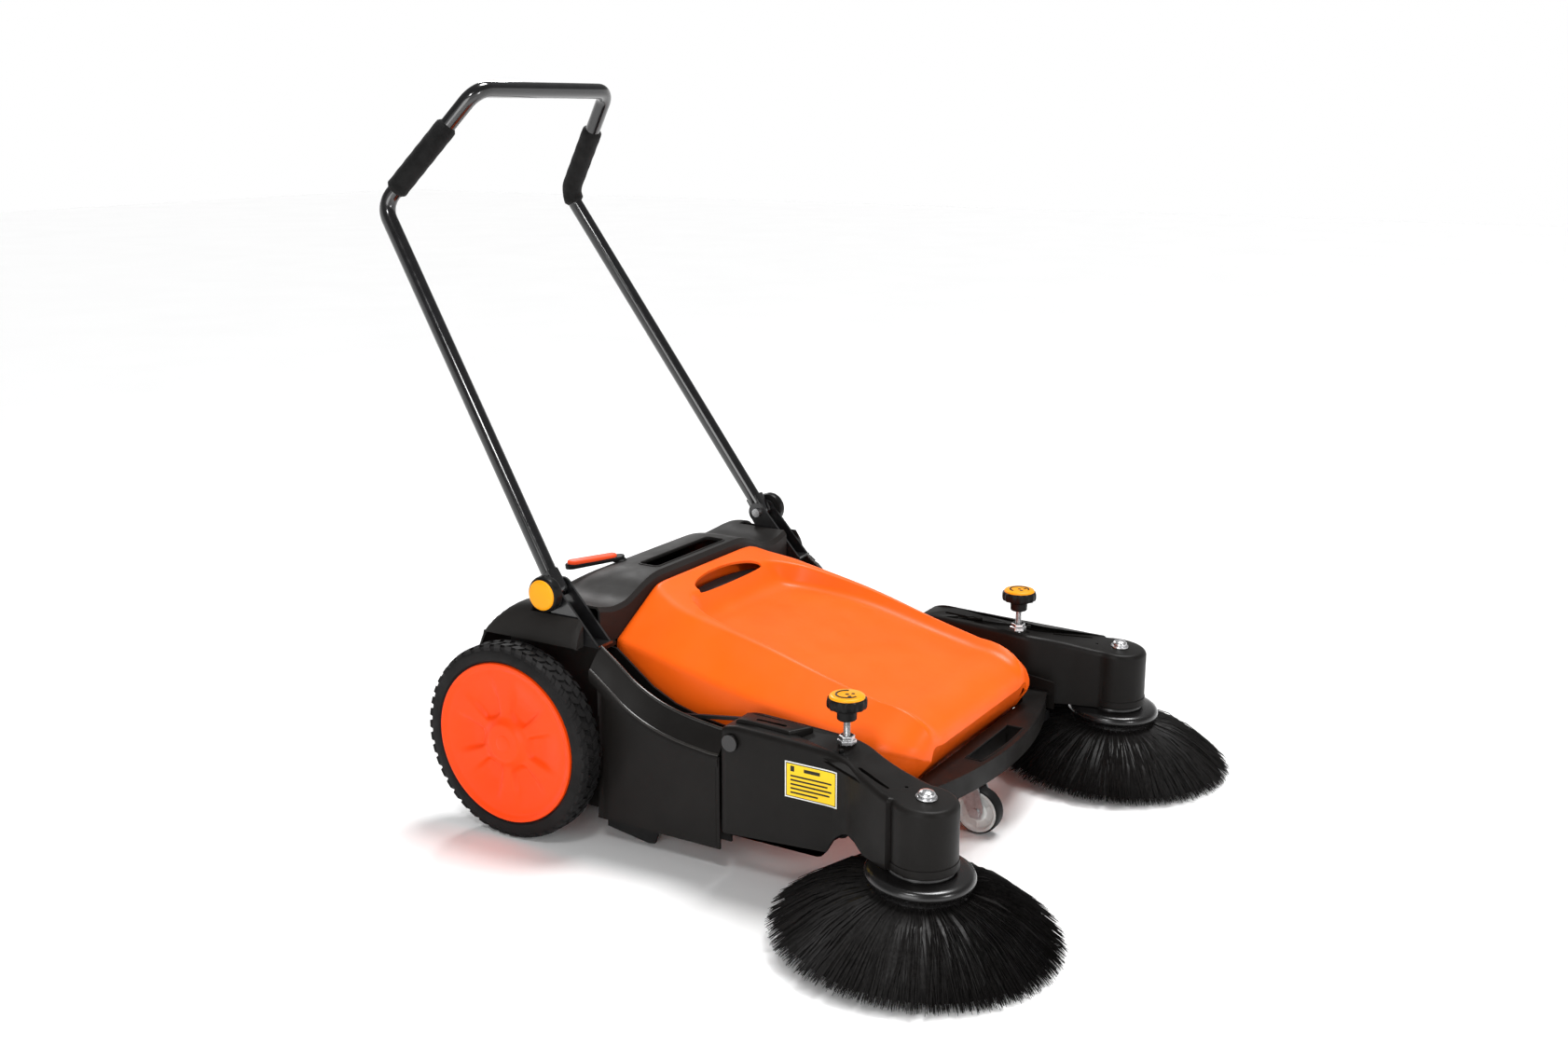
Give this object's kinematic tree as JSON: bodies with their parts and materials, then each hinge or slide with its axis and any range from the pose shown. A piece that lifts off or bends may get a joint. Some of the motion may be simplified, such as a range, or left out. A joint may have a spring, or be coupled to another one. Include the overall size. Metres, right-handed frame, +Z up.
{
  "type": "carpet sweeper",
  "caption": "Walk-behind manual sweeper with side brushes, a wheel-driven roller brush, a lift-out hopper and a folding handle.",
  "frame": {"origin": "on the floor under the centre of the machine's bounding box", "axes": "+X is the machine's left side, -Y is the forward rolling direction, +Z is up"},
  "size_m": [1.113, 1.2146, 1.104],
  "materials": {
    "moulded_black": "fine-grained moulded plastic",
    "cover_grey": "fine-grained moulded plastic",
    "bracket_black": "satin black paint",
    "tube_black": "gloss black paint",
    "steel": "turned steel",
    "zinc_yellow": "yellow zinc plate",
    "skid_rubber": "matt rubber",
    "belt_rubber": "matt rubber",
    "tyre": "matt rubber tread",
    "rim_orange": "glossy moulded plastic",
    "pulley_grey": "moulded plastic",
    "bristle": "stiff synthetic bristles",
    "hopper_orange": "satin moulded plastic",
    "lever_orange": "moulded plastic",
    "foam": "soft foam",
    "knob_black": "moulded plastic",
    "cap_amber": "moulded plastic",
    "label_film": "printed film, no lettering",
    "caster_grey": "moulded nylon"
  },
  "bodies": {
    "chassis": {"chassis_side_right": "moulded_black", "chassis_side_left": "moulded_black", "front_bumper": "moulded_black", "rear_cover": "cover_grey", "cross_members": "bracket_black", "handle_brackets": "bracket_black", "frame_screws": "steel", "side_skirts": "skid_rubber", "rear_flap": "skid_rubber", "arm_pivot_pins": "steel", "spindle_brackets": "zinc_yellow", "drive_belts": "belt_rubber"},
    "wheel_right": {"tyre_right": "tyre", "rim_right": "rim_orange", "wheel_shaft_right": "steel", "hub_pulley_right": "pulley_grey"},
    "wheel_left": {"tyre_left": "tyre", "rim_left": "rim_orange", "wheel_shaft_left": "steel", "hub_pulley_left": "pulley_grey"},
    "roller_carrier": {"roller_carrier": "steel", "roller_belt": "belt_rubber"},
    "main_roller": {"roller_core": "pulley_grey", "roller_bristles": "bristle"},
    "height_lever": {"height_lever": "knob_black", "lever_grip": "lever_orange"},
    "hopper": {"hopper_top": "hopper_orange", "hopper_bin": "hopper_orange", "hopper_seal": "skid_rubber"},
    "handle": {"handle_tube": "tube_black", "grip_right": "foam", "grip_left": "foam"},
    "clamp_right": {"clamp_knob_right": "knob_black", "clamp_cap_right": "cap_amber"},
    "arm_right": {"arm_housing_right": "moulded_black", "brush_bolt_right": "steel", "arm_belt_right": "belt_rubber", "label_right": "label_film"},
    "spindle_right": {"height_knob_right": "knob_black", "height_cap_right": "cap_amber", "height_spindle_right": "steel"},
    "pivot_pulley_right": {"pivot_pulley_right": "pulley_grey"},
    "side_brush_right": {"brush_hub_right": "moulded_black", "brush_bristles_right": "bristle", "brush_pulley_right": "pulley_grey"},
    "clamp_left": {"clamp_knob_left": "knob_black", "clamp_cap_left": "cap_amber"},
    "arm_left": {"arm_housing_left": "moulded_black", "brush_bolt_left": "steel", "arm_belt_left": "belt_rubber"},
    "spindle_left": {"height_knob_left": "knob_black", "height_cap_left": "cap_amber", "height_spindle_left": "steel"},
    "pivot_pulley_left": {"pivot_pulley_left": "pulley_grey"},
    "side_brush_left": {"brush_hub_left": "moulded_black", "brush_bristles_left": "bristle", "brush_pulley_left": "pulley_grey"},
    "caster_fork": {"caster_fork": "steel", "caster_axle": "steel"},
    "caster_wheel": {"caster_wheel": "caster_grey"}
  },
  "joints": [
    {"name": "wheel_right_spin", "type": "hinge", "parent": "chassis", "child": "wheel_right", "pos_m": [-0.361, 0.25966, 0.15], "axis": [1, 0, 0], "continuous": true},
    {"name": "pivot_pulley_right_spin", "type": "hinge", "parent": "chassis", "child": "pivot_pulley_right", "pos_m": [-0.3, -0.11234, 0.213], "axis": [1, 0, 0], "continuous": true},
    {"name": "arm_right_lift", "type": "hinge", "parent": "chassis", "child": "arm_right", "pos_m": [-0.304, -0.11234, 0.213], "axis": [-1, 0, 0], "range_deg": [0, 6]},
    {"name": "side_brush_right_spin", "type": "hinge", "parent": "arm_right", "child": "side_brush_right", "pos_m": [-0.358, -0.41434, 0.1], "axis": [0, -0.061, 0.9981], "continuous": true},
    {"name": "height_knob_right_turn", "type": "hinge", "parent": "chassis", "child": "spindle_right", "pos_m": [-0.293, -0.26834, 0.2], "axis": [0, 0, 1], "range_deg": [0, 720]},
    {"name": "clamp_knob_right_turn", "type": "hinge", "parent": "chassis", "child": "clamp_right", "pos_m": [-0.315, 0.22566, 0.369], "axis": [1, 0, 0], "continuous": true},
    {"name": "wheel_left_spin", "type": "hinge", "parent": "chassis", "child": "wheel_left", "pos_m": [0.361, 0.25966, 0.15], "axis": [1, 0, 0], "continuous": true},
    {"name": "pivot_pulley_left_spin", "type": "hinge", "parent": "chassis", "child": "pivot_pulley_left", "pos_m": [0.3, -0.11234, 0.213], "axis": [1, 0, 0], "continuous": true},
    {"name": "arm_left_lift", "type": "hinge", "parent": "chassis", "child": "arm_left", "pos_m": [0.304, -0.11234, 0.213], "axis": [-1, 0, 0], "range_deg": [0, 6]},
    {"name": "side_brush_left_spin", "type": "hinge", "parent": "arm_left", "child": "side_brush_left", "pos_m": [0.358, -0.41434, 0.1], "axis": [0, -0.061, 0.9981], "continuous": true},
    {"name": "height_knob_left_turn", "type": "hinge", "parent": "chassis", "child": "spindle_left", "pos_m": [0.293, -0.26834, 0.2], "axis": [0, 0, 1], "range_deg": [0, 720]},
    {"name": "clamp_knob_left_turn", "type": "hinge", "parent": "chassis", "child": "clamp_left", "pos_m": [0.315, 0.22566, 0.369], "axis": [1, 0, 0], "continuous": true},
    {"name": "roller_lift", "type": "hinge", "parent": "chassis", "child": "roller_carrier", "pos_m": [0, 0.25966, 0.15], "axis": [-1, 0, 0], "range_deg": [0, 6.5]},
    {"name": "main_roller_spin", "type": "hinge", "parent": "roller_carrier", "child": "main_roller", "pos_m": [0, 0.18966, 0.099], "axis": [1, 0, 0], "continuous": true},
    {"name": "height_lever_turn", "type": "hinge", "parent": "chassis", "child": "height_lever", "pos_m": [-0.084, 0.26366, 0.362], "axis": [0, 0, -1], "range_deg": [0, 40]},
    {"name": "hopper_lift", "type": "slide", "parent": "chassis", "child": "hopper", "axis": [0, 0, 1], "range_m": [0, 0.2]},
    {"name": "handle_fold", "type": "hinge", "parent": "chassis", "child": "handle", "pos_m": [0, 0.22566, 0.369], "axis": [1, 0, 0], "range_deg": [0, 100]},
    {"name": "caster_swivel", "type": "hinge", "parent": "chassis", "child": "caster_fork", "pos_m": [0, -0.31534, 0.09], "axis": [0, 0, 1], "continuous": true},
    {"name": "caster_roll", "type": "hinge", "parent": "caster_fork", "child": "caster_wheel", "pos_m": [0, -0.33734, 0.0356], "axis": [1, 0, 0], "continuous": true}
  ],
  "couplings": [
    {"joint": "pivot_pulley_right_spin", "follows": "wheel_right_spin", "ratio": 2},
    {"joint": "side_brush_right_spin", "follows": "wheel_right_spin", "ratio": 1.5},
    {"joint": "height_knob_right_turn", "follows": "arm_right_lift", "ratio": 120},
    {"joint": "pivot_pulley_left_spin", "follows": "wheel_left_spin", "ratio": 2},
    {"joint": "side_brush_left_spin", "follows": "wheel_left_spin", "ratio": -1.5},
    {"joint": "height_knob_left_turn", "follows": "arm_left_lift", "ratio": 120},
    {"joint": "main_roller_spin", "follows": "wheel_right_spin", "ratio": 2.4211},
    {"joint": "height_lever_turn", "follows": "roller_lift", "ratio": 6.1538}
  ]
}
